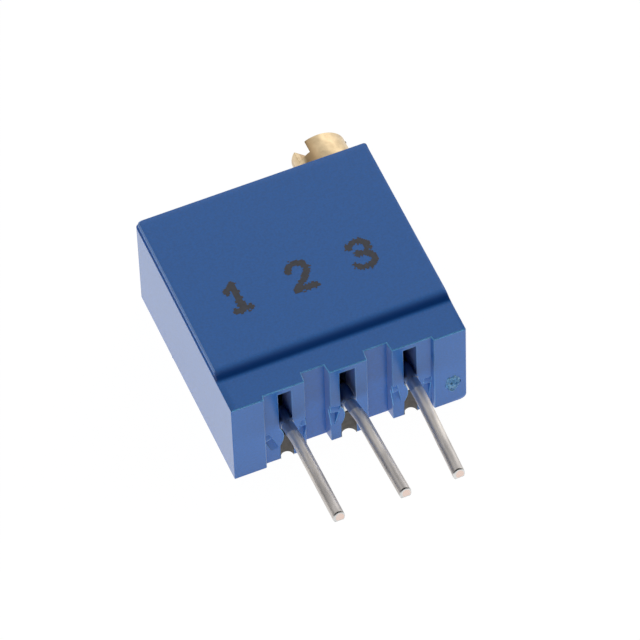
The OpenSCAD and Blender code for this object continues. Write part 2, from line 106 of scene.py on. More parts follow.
def bump(tree, shader, height, depth_mm, strength):
    """Fine relief of about depth_mm."""
    node = tree.nodes.new("ShaderNodeBump")
    node.inputs["Distance"].default_value = depth_mm * MM
    node.inputs["Strength"].default_value = strength
    tree.links.new(height, node.inputs["Height"])
    tree.links.new(node.outputs["Normal"], shader.inputs["Normal"])


def fade(tree, value, start, end, low, high):
    """A soft step from low to high while value goes from start to end."""
    node = tree.nodes.new("ShaderNodeMapRange")
    node.interpolation_type = "SMOOTHSTEP"
    node.inputs["From Min"].default_value = start
    node.inputs["From Max"].default_value = end
    node.inputs["To Min"].default_value = low
    node.inputs["To Max"].default_value = high
    tree.links.new(value, node.inputs["Value"])
    return node.outputs["Result"]


def fade_mm(tree, value, span, low, high):
    """The same between two places in mm."""
    return fade(tree, value, span[0] * MM, span[1] * MM, low, high)


def calculate(tree, operation, *values):
    """A math node; each value is a number or another node's output."""
    node = tree.nodes.new("ShaderNodeMath")
    node.operation = operation
    for value, socket in zip(values, node.inputs):
        if isinstance(value, bpy.types.NodeSocket):
            tree.links.new(value, socket)
        else:
            socket.default_value = value
    return node.outputs[0]


def blend(tree, share, first, second):
    """A mix of two colours; each is a plain colour or another node's output."""
    node = tree.nodes.new("ShaderNodeMix")
    node.data_type = "RGBA"
    tree.links.new(share, node.inputs["Factor"])
    for name, color in (("A", first), ("B", second)):
        if isinstance(color, bpy.types.NodeSocket):
            tree.links.new(color, node.inputs[name])
        else:
            node.inputs[name].default_value = (*color, 1)
    return node.outputs["Result"]


def scaled(color, share):
    return [c * share for c in color]


def grey(v):
    return (v, v, v)


# Blue plastic
# moulded, satin, with a faint grain
BLUE = (0.002, 0.163, 0.608)
BLUE_ROUGH = 0.24
BLUE_SPECULAR = 0.565
BLUE_GRAIN = 0.004
# the same plastic, paler on rounded edges and the flash along the pin face, partly where it is thin or
# rubbed and partly as a painted highlight; on the panel's rim a painted highlight alone
BLUE_EDGE = (0.05, 0.25, 0.68)
BLUE_FLASH_HIGHLIGHT = (0.12, 0.5, 0.95)
BLUE_RIM_HIGHLIGHT = (0.17, 0.36, 0.8)
RUBBED_ROUGH = 0.3
# and where the gate was torn off: its darkest, middle and palest colour
BLUE_TORN_DARK = (0.04, 0.22, 0.58)
BLUE_TORN = (0.1, 0.36, 0.7)
BLUE_TORN_PALE = (0.25, 0.5, 0.75)
# painted shade on the shoulder between panel and strip: where it starts and ends along Y, above which
# height, and what its red, green and blue are multiplied by
SHOULDER_NEAR_Y = (1.4, 1.55)
SHOULDER_FAR_Y = (1.64, 1.94)
SHOULDER_Z = (2.06, 2.07)
SHOULDER_SHADE = (1.3, 0.46, 0.58)
# a little dust and fine wear, which pales the plastic where it is seen from the side
SHEEN = 0.5
SHEEN_ROUGH = 0.4


def on_shoulder(tree):
    """Where the shoulder's painted shade lies: 1 on its steepest part, 0 away from it."""
    at = place(tree)
    near = fade_mm(tree, at["Y"], SHOULDER_NEAR_Y, 0.0, 1.0)
    far = fade_mm(tree, at["Y"], SHOULDER_FAR_Y, 1.0, 0.0)
    above = fade_mm(tree, at["Z"], SHOULDER_Z, 0.0, 1.0)
    return calculate(tree, "MULTIPLY", calculate(tree, "MULTIPLY", near, far), above)


def blue_plastic(name, color, rough):
    mat, tree, shader = material(name, color, rough, 0.0, BLUE_SPECULAR)
    shader.inputs["Sheen Weight"].default_value = SHEEN
    shader.inputs["Sheen Roughness"].default_value = SHEEN_ROUGH
    shades = ramp(tree, noise(tree, 11, 3), [(0.3, scaled(color, 0.9)), (0.7, scaled(color, 1.1))])
    # painted shade on the shoulder, in every blue
    shaded = [c * share for c, share in zip(color, SHOULDER_SHADE)]
    tree.links.new(blend(tree, on_shoulder(tree), shades, shaded), shader.inputs["Base Color"])
    bump(tree, shader, noise(tree, 14, 2), BLUE_GRAIN, 0.35)
    return mat


def torn_plastic():
    mat, tree, shader = material("blue_plastic_torn", BLUE_TORN, 0.42)
    stops = [(0.34, BLUE_TORN_DARK), (0.5, BLUE_TORN), (0.64, BLUE_TORN_PALE)]
    mottle(tree, shader, noise(tree, 5, 4, 0.7), stops)
    bump(tree, shader, noise(tree, 16, 3), 0.02, 0.5)
    return mat


blue = blue_plastic("blue_plastic", BLUE, BLUE_ROUGH)
blue_edge = blue_plastic("blue_plastic_edge", BLUE_EDGE, RUBBED_ROUGH)
blue_flash_highlight = blue_plastic("blue_plastic_flash_highlight", BLUE_FLASH_HIGHLIGHT, RUBBED_ROUGH)
blue_rim_highlight = blue_plastic("blue_plastic_rim_highlight", BLUE_RIM_HIGHLIGHT, RUBBED_ROUGH)
blue_torn = torn_plastic()

# Resin
RESIN = (0.14, 0.128, 0.115)


def potting_resin():
    mat, tree, shader = material("potting_resin", RESIN, 0.6)
    mottle(tree, shader, noise(tree, 6, 3), [(0.35, scaled(RESIN, 0.8)), (0.65, scaled(RESIN, 1.15))])
    bump(tree, shader, noise(tree, 5, 3), 0.02, 0.5)
    return mat


resin = potting_resin()

# Tinned wire
TIN = (0.63, 0.593, 0.563)
# brighter near the body, where solder has run along it: where that ends and where it is full along Y
WETTED = (0.93, 0.86, 0.77)
WETTED_Y = (-3.6, -1.2)
# a painted reflection of the blue housing at the root, darker than the tin as painted shade: where it starts
# along Y, how ragged that edge is, and how much of it there is
ROOT_REFLECTION = (0.2, 0.32, 0.5)
REFLECTION_Y = (-0.35, -0.27)
REFLECTION_RAGGED = 0.3
REFLECTION_SHARE = 0.6
# the bare copper core of the cut end
COPPER = (0.82, 0.63, 0.55)
COPPER_DULL = (0.8, 0.67, 0.61)


def tinned_wire():
    """Drawn along Y, so its streaks and scratches run that way."""
    mat, tree, shader = material("tinned_copper", TIN, 0.34, 1.0)
    along = place(tree)["Y"]
    streaks = noise(tree, 5, 2, 0.5, (1, 0.12, 1))
    dull = ramp(tree, streaks, [(0.3, scaled(TIN, 0.74)), (0.65, scaled(TIN, 1.12))])
    bright = ramp(tree, streaks, [(0.3, scaled(WETTED, 0.84)), (0.65, WETTED)])
    skin = blend(tree, fade_mm(tree, along, WETTED_Y, 0.0, 1.0), dull, bright)
    # a painted reflection of the housing, with painted shade, at the root
    ragged = calculate(tree, "MULTIPLY_ADD", noise(tree, 4, 3, 0.6), REFLECTION_RAGGED * MM, along)
    reflected = blend(tree, fade_mm(tree, ragged, REFLECTION_Y, 0.0, REFLECTION_SHARE), skin, ROOT_REFLECTION)
    tree.links.new(reflected, shader.inputs["Base Color"])
    scratches = noise(tree, 7, 2, 0.5, (1, 0.2, 1))
    mottle(tree, shader, scratches, [(0.3, grey(0.42)), (0.7, grey(0.55))], "Roughness")
    bump(tree, shader, noise(tree, 7, 1, 0.5, (1, 0.15, 1)), 0.005, 0.4)
    return mat


def cut_copper():
    mat, tree, shader = material("copper_cut", COPPER, 0.3, 1.0)
    mottle(tree, shader, noise(tree, 4, 3), [(0.35, COPPER), (0.65, COPPER_DULL)])
    return mat


tin = tinned_wire()
copper = cut_copper()

# Ink
# dark stamping ink, thin enough to let a little blue through
INK = (0.055, 0.055, 0.068)
INK_DARK = (0.045, 0.046, 0.06)
INK_THIN = (0.068, 0.07, 0.09)


def stamping_ink():
    mat, tree, shader = material("marking_ink", INK, 0.42)
    mottle(tree, shader, noise(tree, 7, 3), [(0.3, INK_DARK), (0.7, INK_THIN)])
    bump(tree, shader, noise(tree, 14, 2), 0.004, 0.35)
    return mat


ink = stamping_ink()

# Brass
# turned, slightly tarnished
BRASS = (0.8, 0.62, 0.38)
BRASS_DULL = (0.62, 0.47, 0.28)
# painted shade: the head is darker and browner beside the driver slot; where that starts and ends along X,
# and how much of it there is
BRASS_PAINTED_SHADE = (0.5, 0.33, 0.17)
SHADE_START_X = (2.65, 2.75)
SHADE_END_X = (2.95, 3.4)
SHADE_SHARE = 0.8
# a speck of dark tarnish
TARNISH = (0.16, 0.09, 0.07)
TARNISH_DARK = (0.12, 0.06, 0.05)
TARNISH_PALE = (0.2, 0.12, 0.09)


def turned_brass():
    mat, tree, shader = material("brass", BRASS, 0.34, 1.0)
    across = place(tree)["X"]
    start = fade_mm(tree, across, SHADE_START_X, 0.0, SHADE_SHARE)
    end = fade_mm(tree, across, SHADE_END_X, 1.0, 0.0)
    skin = ramp(tree, noise(tree, 3, 4, 0.6), [(0.32, BRASS_DULL), (0.62, BRASS)])
    # painted shade beside the driver slot
    shaded_brass = blend(tree, calculate(tree, "MULTIPLY", start, end), skin, BRASS_PAINTED_SHADE)
    tree.links.new(shaded_brass, shader.inputs["Base Color"])
    mottle(tree, shader, noise(tree, 5, 3), [(0.3, grey(0.3)), (0.7, grey(0.42))], "Roughness")
    bump(tree, shader, noise(tree, 10, 2, 0.5, (0.3, 3, 0.3)), 0.004, 0.5)
    return mat


def tarnished_brass():
    mat, tree, shader = material("brass_tarnished", TARNISH, 0.6, 0.3)
    mottle(tree, shader, noise(tree, 8, 2), [(0.3, TARNISH_DARK), (0.7, TARNISH_PALE)])
    return mat


brass = turned_brass()
brass_dark = tarnished_brass()


# Finish of every CAD node
def plain(name, color, rough, metal=0.0, per_mm=6):
    """A material with a faint mottle, for the pieces inside."""
    mat, tree, shader = material(name, color, rough, metal)
    mottle(tree, shader, noise(tree, per_mm, 3), [(0.3, scaled(color, 0.88)), (0.7, scaled(color, 1.08))])
    return mat


ceramic = plain("ceramic", (0.8, 0.78, 0.72), 0.55)
resistor_film = plain("resistor_film", (0.02, 0.018, 0.016), 0.45, per_mm=12)
conductor_film = plain("conductor_film", (0.62, 0.6, 0.55), 0.4, 1.0)
solder = plain("solder", (0.7, 0.7, 0.69), 0.22, 1.0)
rubber = plain("seal_rubber", (0.012, 0.012, 0.012), 0.5)
steel = plain("spring_steel", (0.56, 0.57, 0.58), 0.3, 1.0)
nylon = plain("nylon", (0.72, 0.68, 0.58), 0.45)
black_nylon = plain("black_nylon", (0.02, 0.02, 0.022), 0.4)
bronze = plain("spring_bronze", (0.7, 0.48, 0.24), 0.28, 1.0)

FINISH = {
    "housing": blue, "potting_seal": resin, "ceramic_element": ceramic, "resistive_track": resistor_film,
    "collector_track": conductor_film, "termination_1": conductor_film, "termination_3": conductor_film,
    "pin_1": tin, "pin_2": tin, "pin_3": tin, "solder_1": solder, "solder_2": solder, "solder_3": solder,
    "adjuster_screw": brass, "shaft_seal": rubber, "screw_retainer": steel, "worm_wheel": nylon,
    "clutch_spring": bronze, "wiper_carrier": black_nylon, "wiper_contact": bronze,
}
for node_name, mat in FINISH.items():
    slots = nodes[node_name].data.materials
    slots.clear()
    slots.append(mat)


# Mesh helpers
# points nearer than this are joined, and faces that differ by less than this angle are one
WELD = 0.0002
FLAT_DEG = 0.3


def cad_mesh(name):
    """The node's own mesh as a bmesh, with its vertices joined and its flat faces whole."""
    bm = bmesh.new()
    bm.from_mesh(nodes[name].data)
    bmesh.ops.remove_doubles(bm, verts=bm.verts, dist=WELD * MM)
    bmesh.ops.dissolve_limit(bm, angle_limit=math.radians(FLAT_DEG), verts=bm.verts, edges=bm.edges)
    return bm


def piece(name, bm, mats, body="body"):
    """An object from a bmesh, smooth where its faces meet at a small angle, that rides on its body."""
    mesh = bpy.data.meshes.new(name)
    bmesh.ops.recalc_face_normals(bm, faces=bm.faces)
    for face in bm.faces:
        face.smooth = True
    bm.to_mesh(mesh)
    bm.free()
    for mat in mats:
        mesh.materials.append(mat)
    obj = bpy.data.objects.new(name, mesh)
    scene.collection.objects.link(obj)
    even = obj.modifiers.new("even_shading", "WEIGHTED_NORMAL")
    even.weight = 100
    even.keep_sharp = True
    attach(obj, body)
    return obj


def mark_creases(bm, angle):
    """Edges that turn by more than this many degrees stay crisp."""
    limit = math.radians(angle)
    for edge in bm.edges:
        edge.smooth = len(edge.link_faces) == 2 and edge.calc_face_angle() <= limit


def sharp_edges(bm, angle, keep):
    """The edges that stick out, turn by more than this many degrees and pass keep."""
    limit = math.radians(angle)
    pairs = [e for e in bm.edges if len(e.link_faces) == 2]
    return [e for e in pairs if e.calc_face_angle() > limit and e.is_convex and keep(e)]


def ends(edge):
    """Both ends of an edge, in mm."""
    return [v.co / MM for v in edge.verts]


def rounded(bm, edges, radius, mat_index=0, segments=2, clamp=False):
    """Rounds these edges and gives the new faces a material of their own."""
    done = bmesh.ops.bevel(bm, geom=edges, offset=radius * MM, offset_type="OFFSET", segments=segments,
                           profile=0.5, affect="EDGES", clamp_overlap=clamp, material=mat_index)
    return done["faces"]


def bridge(bm, ring, next_ring):
    """The faces between two rings with as many points each."""
    turned = list(zip(ring[1:] + ring[:1], next_ring[1:] + next_ring[:1]))
    return [bm.faces.new((a, b, d, c)) for a, c, (b, d) in zip(ring, next_ring, turned)]


# Housing
# the shell's materials, in their order on the mesh
PLAIN, EDGE, FLASH_HIGHLIGHT, RIM = range(4)
# what lies beyond these places is on the housing's outside, and not in its chamber
OUTSIDE_X = 4.7
OUTSIDE_Y = (1.1, 9.5)
OUTSIDE_Z = 2.0
# the top's long faces are cut near their ends, so that the shading of their rims stays there: the faces
# above a height, and the places of the cuts
TOP_Z = 2.07
TOP_CUTS_X = (-4.5, 4.6)
PANEL_Z = 2.24
TOP_CUTS_Y = (2.06, 2.3, 9.3)
# the panel's left rim: its radius, where it lies, where its painted highlight ends, and how far a face of it
# has to look up to take the painted highlight
PANEL_EDGE_R = 0.075
PANEL_EDGE_X = -4.4
PANEL_EDGE_Z = 2.2
RIM_END_Y = 1.85
RIM_FACING = 0.55
# the right side's lower long edge: its radius, where it lies, and what it is longer than
FOOT_EDGE_R = 0.26
FOOT_EDGE_Z = -2.2
FOOT_EDGE_L = 5
# the far right corner is sharper than the others: its arc's middle and radius, and its radius as seen
CORNER_X = 4.565
CORNER_Y = 9.4
CORNER_R = 0.2
SHARP_R = 0.12
# how near a point has to lie to the corner's arc, to its quarter's sides and to the pads' plane
ARC_SLACK = 0.01
SIDE_SLACK = 0.001
PAD_SLACK = 0.002
# all other outer edges: their radius, and the length below which they stay as they are
EDGE_R = 0.036
EDGE_SHORTEST = 0.06
# those around the pin face are paler, partly as a painted highlight, and above this height they show flash
# with a brighter painted highlight
PIN_FACE_X = 4.72
PIN_FACE_Y = 1.2
FLASH_HIGHLIGHT_Z = 1.5
# the staking dents in the pads: the pads' plane, the dents' depth and their lowest and highest place
STAKE_EDGE_R = 0.022
PAD_Y = 0.18
DENT_DEPTH = (0.01, 0.3)
DENT_Z = (-1.7, 0.2)


def cut_top(bm, above, axis, places):
    """Cuts the housing's top faces above this height, across X (axis 0) or Y (axis 1)."""
    across = Vector((0, 0, 0))
    across[axis] = 1
    for at in places:
        top = [f for f in bm.faces if all(v.co.z > above * MM for v in f.verts)]
        verts = list(dict.fromkeys(v for f in top for v in f.verts))
        edges = list(dict.fromkeys(e for f in top for e in f.edges))
        bmesh.ops.bisect_plane(bm, geom=verts + edges + top, dist=1e-7, plane_co=across * (at * MM),
                               plane_no=across)


def outer(edge):
    """Whether the edge lies on the outside of the housing."""
    return all(abs(p.x) > OUTSIDE_X or not OUTSIDE_Y[0] <= p.y <= OUTSIDE_Y[1] or p.z > OUTSIDE_Z
               for p in ends(edge))


def on_panel_edge(edge):
    return all(p.z > PANEL_EDGE_Z and p.x < PANEL_EDGE_X for p in ends(edge))


def on_foot_edge(edge):
    long_enough = edge.calc_length() > FOOT_EDGE_L * MM
    return long_enough and all(p.x > OUTSIDE_X and p.z < FOOT_EDGE_Z for p in ends(edge))


def in_dent(edge):
    """Whether the edge belongs to a staking dent: an end of it lies below the pad's plane, or it is the
    dent's outline on the pad."""
    below = any(DENT_DEPTH[0] < p.y - PAD_Y < DENT_DEPTH[1] and p.z < DENT_Z[1] for p in ends(edge))
    outline = all(abs(p.y - PAD_Y) < PAD_SLACK and DENT_Z[0] < p.z < DENT_Z[1] for p in ends(edge))
    return below or outline


def sharpen_corner(bm):
    """Pulls the far right corner's arc out to its smaller radius."""
    for v in bm.verts:
        px = v.co.x / MM - CORNER_X
        py = v.co.y / MM - CORNER_Y
        if min(px, py) > -SIDE_SLACK and math.hypot(px, py) > CORNER_R - ARC_SLACK:
            a = math.atan2(py, px)
            v.co.x = (CORNER_X + CORNER_R - SHARP_R + SHARP_R * math.cos(a)) * MM
            v.co.y = (CORNER_Y + CORNER_R - SHARP_R + SHARP_R * math.sin(a)) * MM


def housing_shell():
    """The moulding with its rounded edges, and paler plastic on them, partly where it is thin or rubbed and
    partly as a painted highlight.
    """
    shell = cad_mesh("housing")
    cut_top(shell, TOP_Z, 0, TOP_CUTS_X)
    cut_top(shell, PANEL_Z, 1, TOP_CUTS_Y)
    for face in rounded(shell, sharp_edges(shell, 28, on_panel_edge), PANEL_EDGE_R, PLAIN, 4):
        face.normal_update()
        # faces of the rim that look up get a painted highlight
        if face.normal.z > RIM_FACING and face.calc_center_median().y > RIM_END_Y * MM:
            face.material_index = RIM
    rounded(shell, sharp_edges(shell, 60, on_foot_edge), FOOT_EDGE_R, PLAIN, 4)
    sharpen_corner(shell)
    dents = sharp_edges(shell, 20, lambda e: outer(e) and in_dent(e))
    # the dents' rounded rims take the pale flash plastic as a painted highlight
    rounded(shell, dents, STAKE_EDGE_R, FLASH_HIGHLIGHT)
    others = sharp_edges(shell, 60, lambda e: outer(e) and not in_dent(e)
                         and e.calc_length() > EDGE_SHORTEST * MM)
    for face in rounded(shell, others, EDGE_R, PLAIN):
        mid = face.calc_center_median() / MM
        # paler edges around the pin face: partly thin or rubbed plastic, partly a painted highlight
        if mid.y < PIN_FACE_Y and abs(mid.x) < PIN_FACE_X:
            face.material_index = FLASH_HIGHLIGHT if mid.z > FLASH_HIGHLIGHT_Z else EDGE
    mark_creases(shell, 50)
    shell_piece = piece("housing_shell", shell, [blue, blue_edge, blue_flash_highlight, blue_rim_highlight])
    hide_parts("housing")


housing_shell()

# Gate mark
# its middle and half size in X and Z, the recess's floor, the stump's height, and its rings of points
GATE_AT = (4.19, -1.03)
GATE_HALF = (0.32, 0.5)
GATE_FLOOR_Y = 0.01
GATE_HEIGHT = 0.085
GATE_FOOT = 0.03
GATE_RINGS = 14
GATE_AROUND = 56
# the outline's unevenness: its share of the size, and how fast it changes around the rim
GATE_UNEVEN = 0.2
GATE_LOBES = 2.9
# the relief, as shares of the height: what it starts from, its least and most, and its very centre
GATE_RELIEF = 0.45
GATE_LIMITS = (0.0, 1.5)
GATE_CENTRE = 0.6
# its bumps, coarse and fine, as height, bumps in each millimetre and seed
GATE_BUMPS = [(0.9, 8, 0.3), (0.7, 19, 4.1)]
# a raised lip at its lower edge and a hollow above that, as height, place and half width
GATE_WAVES = [(0.9, 0.86, 0.1), (-0.5, 0.5, 0.22)]
# the power of the way out by which it falls off: the larger it is, the later and the more steeply
GATE_FALL = 6


def gate_point(out, a):
    """A point of the stump, this share of the way out to its rim and at this angle, in metres."""
    around = Vector((GATE_LOBES * math.cos(a), GATE_LOBES * math.sin(a), 1.7))
    reach = out * (1 + GATE_UNEVEN * mathnoise.noise(around))
    px = GATE_AT[0] + GATE_HALF[0] * reach * math.cos(a)
    pz = GATE_AT[1] + GATE_HALF[1] * reach * math.sin(a)
    relief = GATE_RELIEF
    for height, per_mm, seed in GATE_BUMPS:
        relief += height * mathnoise.noise(Vector((px * per_mm, seed, pz * per_mm)))
    low = -math.sin(a) * out
    for height, middle, half in GATE_WAVES:
        relief += height * math.exp(-((low - middle) / half) ** 2)
    relief = max(GATE_LIMITS[0], min(GATE_LIMITS[1], relief))
    py = GATE_FLOOR_Y - GATE_HEIGHT * relief * (1 - out ** GATE_FALL)
    return Vector((px, py if out < 1 else GATE_FLOOR_Y + GATE_FOOT, pz)) * MM


def gate_stump():
    """The rough stump that is left where the moulding gate was torn off, over its shallow recess."""
    bm = bmesh.new()
    top_y = GATE_FLOOR_Y - GATE_HEIGHT * GATE_CENTRE
    centre = bm.verts.new((GATE_AT[0] * MM, top_y * MM, GATE_AT[1] * MM))
    last = None
    for i in range(1, GATE_RINGS + 1):
        angles = [2 * math.pi * k / GATE_AROUND for k in range(GATE_AROUND)]
        ring = [bm.verts.new(gate_point(i / GATE_RINGS, a)) for a in angles]
        if last:
            bridge(bm, last, ring)
        else:
            for near, far in zip(ring, ring[1:] + ring[:1]):
                bm.faces.new((centre, near, far))
        last = ring
    bm.faces.new(list(reversed(last)))
    stump = piece("gate_stump", bm, [blue_torn])


gate_stump()

# Pins
PITCH = 2.54
PIN_R = 0.255
PIN_L = 4.7
# the flat on the wire's back, near the body and at its end, and where it changes from one to the other
PIN_FLAT_Z = -0.215
TIP_FLAT_Z = -0.165
FLAT_CHANGE_Y = (-3.7, -4.6)
# the skin: its unevenness, how fast that changes around the wire and along it, and how far the skin lies
# inside the CAD's radius
SKIN_UNEVEN = 0.012
SKIN_AROUND = 1.2
SKIN_ALONG = 0.9
SKIN_IN = 0.01
# a shallow drawn groove along the upper right side: its angle, half width and depth, how it sways, and
# where it starts and ends along Y
GROOVE_DEG = 38
GROOVE_HALF_DEG = 9
GROOVE_DEPTH = 0.016
SWAY_DEG = 6
SWAY_ALONG = 1.7
GROOVE_START_Y = (-0.7, -1.2)
GROOVE_END_Y = (-4.1, -3.6)
# a small collar where the tinning starts: its place, its tilt and the tilt's turn, half width and height
COLLAR_Y = -0.3
COLLAR_TILT = 0.16
COLLAR_TURN = 0.6
COLLAR_HALF = 0.03
COLLAR_HEIGHT = 0.006
# below this place the wire is drawn anew, above it is the CAD's own crank
CRANK_Y = 0.03
# where the wire steps aside
STEP_Y = (0.1, -1.0)
# its rings of points: first close together, then further apart, as start, distance and count along Y,
# up to just before the end
WIRE_AROUND = 40
WIRE_RINGS = [(0.05, 0.05, 22), (-1.05, 0.12, 30)]
LAST_RING_Y = -4.65
# the rings at the wire's end: how far each lies behind it, and its share of the radius
WIRE_END = [(0.035, 1.0), (0.012, 0.99), (0.0, 0.965)]
# the shears cut the wire at a slant: its upper side ends this many mm further back for each mm of height
TIP_SLANT = 0.3
SLANT_Y = (-4.1, -4.65)
# the wire's materials, in their order on the mesh
WIRE_TIN, WIRE_COPPER, WIRE_RIM = range(3)
# the copper core's size in the cut end, and where it sits in it (along X and Z)
CORE_SHARE = 0.7
CORE_AT = (0.04, -0.026)
# the cut end's rings: share of the outline, depth, and the material of the faces outside them
CUT_RINGS = [(CORE_SHARE, 0.001, WIRE_RIM), (CORE_SHARE / 2, 0.003, WIRE_COPPER)]


def smooth_step(value, span):
    """0 at the span's start and 1 at its end, soft at both."""
    x = max(0.0, min(1.0, (value - span[0]) / (span[1] - span[0])))
    return x * x * (3 - 2 * x)


def wire_point(y, a, seed):
    """A point of the wire's skin at this place along Y and angle, before it is leaned over."""
    around = Vector((SKIN_AROUND * math.cos(a), SKIN_ALONG * y + seed, SKIN_AROUND * math.sin(a)))
    r = PIN_R * (1 + SKIN_UNEVEN * mathnoise.noise(around)) - SKIN_IN
    along = smooth_step(y, GROOVE_START_Y) * smooth_step(y, GROOVE_END_Y)
    groove = GROOVE_DEG + SWAY_DEG * math.sin(y * SWAY_ALONG + seed)
    off = (a - math.radians(groove)) / math.radians(GROOVE_HALF_DEG)
    r -= GROOVE_DEPTH * along * math.exp(-off * off)
    off = (y - COLLAR_Y + COLLAR_TILT * math.sin(a - COLLAR_TURN)) / COLLAR_HALF
    r += COLLAR_HEIGHT * math.exp(-off * off)
    flat = PIN_FLAT_Z + (TIP_FLAT_Z - PIN_FLAT_Z) * smooth_step(y, FLAT_CHANGE_Y)
    return r * math.cos(a), max(r * math.sin(a), flat)


def wire_rings():
    """The rings' places along Y and their shares of the radius."""
    places = [start - apart * i for start, apart, count in WIRE_RINGS for i in range(count)]
    skin = [(y, 1.0) for y in places if y > LAST_RING_Y]
    return skin + [(-PIN_L + back, share) for back, share in WIRE_END]


def cut_end(bm, last, middle_x):
    """The cut end: a bright rim of smeared tin and solder, then the copper core."""
    outline = [(v.co.x / MM - middle_x, v.co.z / MM) for v in last]
    for share, depth, mat_index in CUT_RINGS:
        ring = []
        for px, pz in outline:
            px = px * share + CORE_AT[0]
            pz = pz * share + CORE_AT[1]
            py = -PIN_L + depth + TIP_SLANT * (pz - TIP_FLAT_Z)
            ring.append(bm.verts.new(((middle_x + px) * MM, py * MM, pz * MM)))
        for face in bridge(bm, last, ring):
            face.material_index = mat_index
        last = ring
    bm.faces.new(last).material_index = WIRE_COPPER


def pin_piece(name, node, x0, root, tip, seed):
    """The pin as it really is, on the CAD's own inner crank: a wire that steps aside by root where it leaves
    its slot and by tip at its end (along X), with a sheared copper end."""
    bm = cad_mesh(node)
    cut = bmesh.ops.bisect_plane(bm, geom=bm.verts[:] + bm.edges[:] + bm.faces[:],
                                 plane_co=(0, CRANK_Y * MM, 0), plane_no=(0, 1, 0), clear_inner=True)
    bmesh.ops.holes_fill(bm, edges=[e for e in cut["geom_cut"] if isinstance(e, bmesh.types.BMEdge)])
    last = None
    for y, share in wire_rings():
        middle_x = x0 + root * smooth_step(y, STEP_Y) + (tip - root) * max(0.0, -y) / PIN_L
        ring = []
        for k in range(WIRE_AROUND):
            px, pz = wire_point(y, 2 * math.pi * k / WIRE_AROUND - math.pi / 2, seed)
            py = y + TIP_SLANT * (pz - TIP_FLAT_Z) * smooth_step(y, SLANT_Y)
            ring.append(bm.verts.new(((middle_x + px * share) * MM, py * MM, pz * share * MM)))
        if last:
            bridge(bm, last, ring)
        else:
            bm.faces.new(ring)
        last = ring
    cut_end(bm, last, x0 + tip)
    mark_creases(bm, 50)
    wire = piece(name, bm, [tin, copper, solder])
    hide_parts(node)


pin_piece("pin_1_wire", "pin_1", -PITCH, 0.065, 0.115, 1.0)
pin_piece("pin_2_wire", "pin_2", 0.0, 0.1, 0.26, 5.0)
pin_piece("pin_3_wire", "pin_3", PITCH, 0.04, -0.115, 9.0)

# Solder in the slots
# each sliver's outline, as X from its pin and Z, and where they all start and end along Y
SLIVERS = {
    "solder_sliver_1": (-PITCH, [(-0.14, -0.42), (-0.06, -0.45), (-0.02, -0.64), (-0.09, -0.67)]),
    "solder_sliver_2": (0.0, [(-0.25, -0.077), (-0.053, -0.142), (0.03, -0.5), (0.1, -0.86),
                              (-0.13, -0.87), (-0.21, -0.5)]),
    "solder_sliver_3": (PITCH, [(-0.191, -0.277), (-0.089, -0.333), (0.01, -0.7), (0.05, -0.96),
                                (-0.1, -0.93), (-0.16, -0.6)]),
}
SLIVER_Y = (0.3, 0.42)
SLIVER_EDGE_R = 0.02


def solder_sliver(name, x0, outline):
    """The bright sliver of solder that stands in a slot, left of the pin."""
    bm = bmesh.new()
    front, back = [[bm.verts.new(((x0 + px) * MM, y * MM, pz * MM)) for px, pz in outline] for y in SLIVER_Y]
    bm.faces.new(front)
    bm.faces.new(list(reversed(back)))
    bridge(bm, back, front)
    front_edges = [e for e in bm.edges if all(v in front for v in e.verts)]
    rounded(bm, front_edges, SLIVER_EDGE_R, clamp=True)
    lump = piece(name, bm, [solder])


for sliver_name, (sliver_x, sliver_outline) in SLIVERS.items():
    solder_sliver(sliver_name, sliver_x, sliver_outline)

# Screw
HEAD_Y = 9.61
HEAD_EDGE_R = 0.03
# the burrs' unevenness as a share of their radius, and their bumps in each millimetre
BURR_UNEVEN = 0.5
BURR_BUMPS = 25


def turned_screw():
    screw = cad_mesh("adjuster_screw")
    head = sharp_edges(screw, 40, lambda e: all(p.y > HEAD_Y for p in ends(e)))
    rounded(screw, head, HEAD_EDGE_R)
    mark_creases(screw, 40)
    screw_piece = piece("screw_turned", screw, [brass], "screw")
    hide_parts("adjuster_screw")


def speck(name, at, radius, mat, body="body"):
    """A tiny burr: an uneven lump that stands half out of the surface."""
    bm = bmesh.new()
    bmesh.ops.create_icosphere(bm, subdivisions=2, radius=radius * MM)
    for v in bm.verts:
        v.co *= 1 + BURR_UNEVEN * mathnoise.noise(v.co / MM * BURR_BUMPS)
        v.co += Vector(at) * MM
    burr = piece(name, bm, [mat], body)


turned_screw()
speck("screw_burr", (4.562, 11.2, 0.505), 0.045, brass_dark, "screw")
speck("edge_burr", (-4.75, 6.24, -2.215), 0.035, blue)

# Marking
# plain terminal numbers, one above each pin, stamped as small cells with ragged edges
CELL = 0.062
INK_Z = (2.2485, 2.2535)
DIGIT_Y = 4.1
DIGIT_HEIGHT = 1.25
DIGIT_MIDDLE = 0.34
HALF_STROKE = 0.14
RAGGED_SHARE = 0.32
MARGIN = 0.4
# the strokes of each digit, as shares of its height
STROKES = {
    "1": [[(0.1, 0.78), (0.34, 1.0), (0.34, 0.0)], [(0.1, 0.0), (0.58, 0.0)]],
    "2": [[(0.04, 0.76), (0.16, 0.94), (0.36, 1.0), (0.56, 0.92), (0.64, 0.72), (0.54, 0.5), (0.04, 0.0),
           (0.66, 0.0)]],
    "3": [[(0.04, 0.86), (0.2, 1.0), (0.44, 1.0), (0.6, 0.86), (0.6, 0.66), (0.44, 0.53), (0.22, 0.53)],
          [(0.44, 0.53), (0.62, 0.38), (0.62, 0.16), (0.44, 0.0), (0.18, 0.0), (0.02, 0.14)]],
}


def near_stroke(x, y, lines):
    """How far the point lies from the nearest stroke."""
    best = math.inf
    for line in lines:
        for (ax, ay), (bx, by) in zip(line, line[1:]):
            dx, dy = bx - ax, by - ay
            t = max(0.0, min(1.0, ((x - ax) * dx + (y - ay) * dy) / (dx * dx + dy * dy)))
            best = min(best, math.hypot(x - ax - t * dx, y - ay - t * dy))
    return best


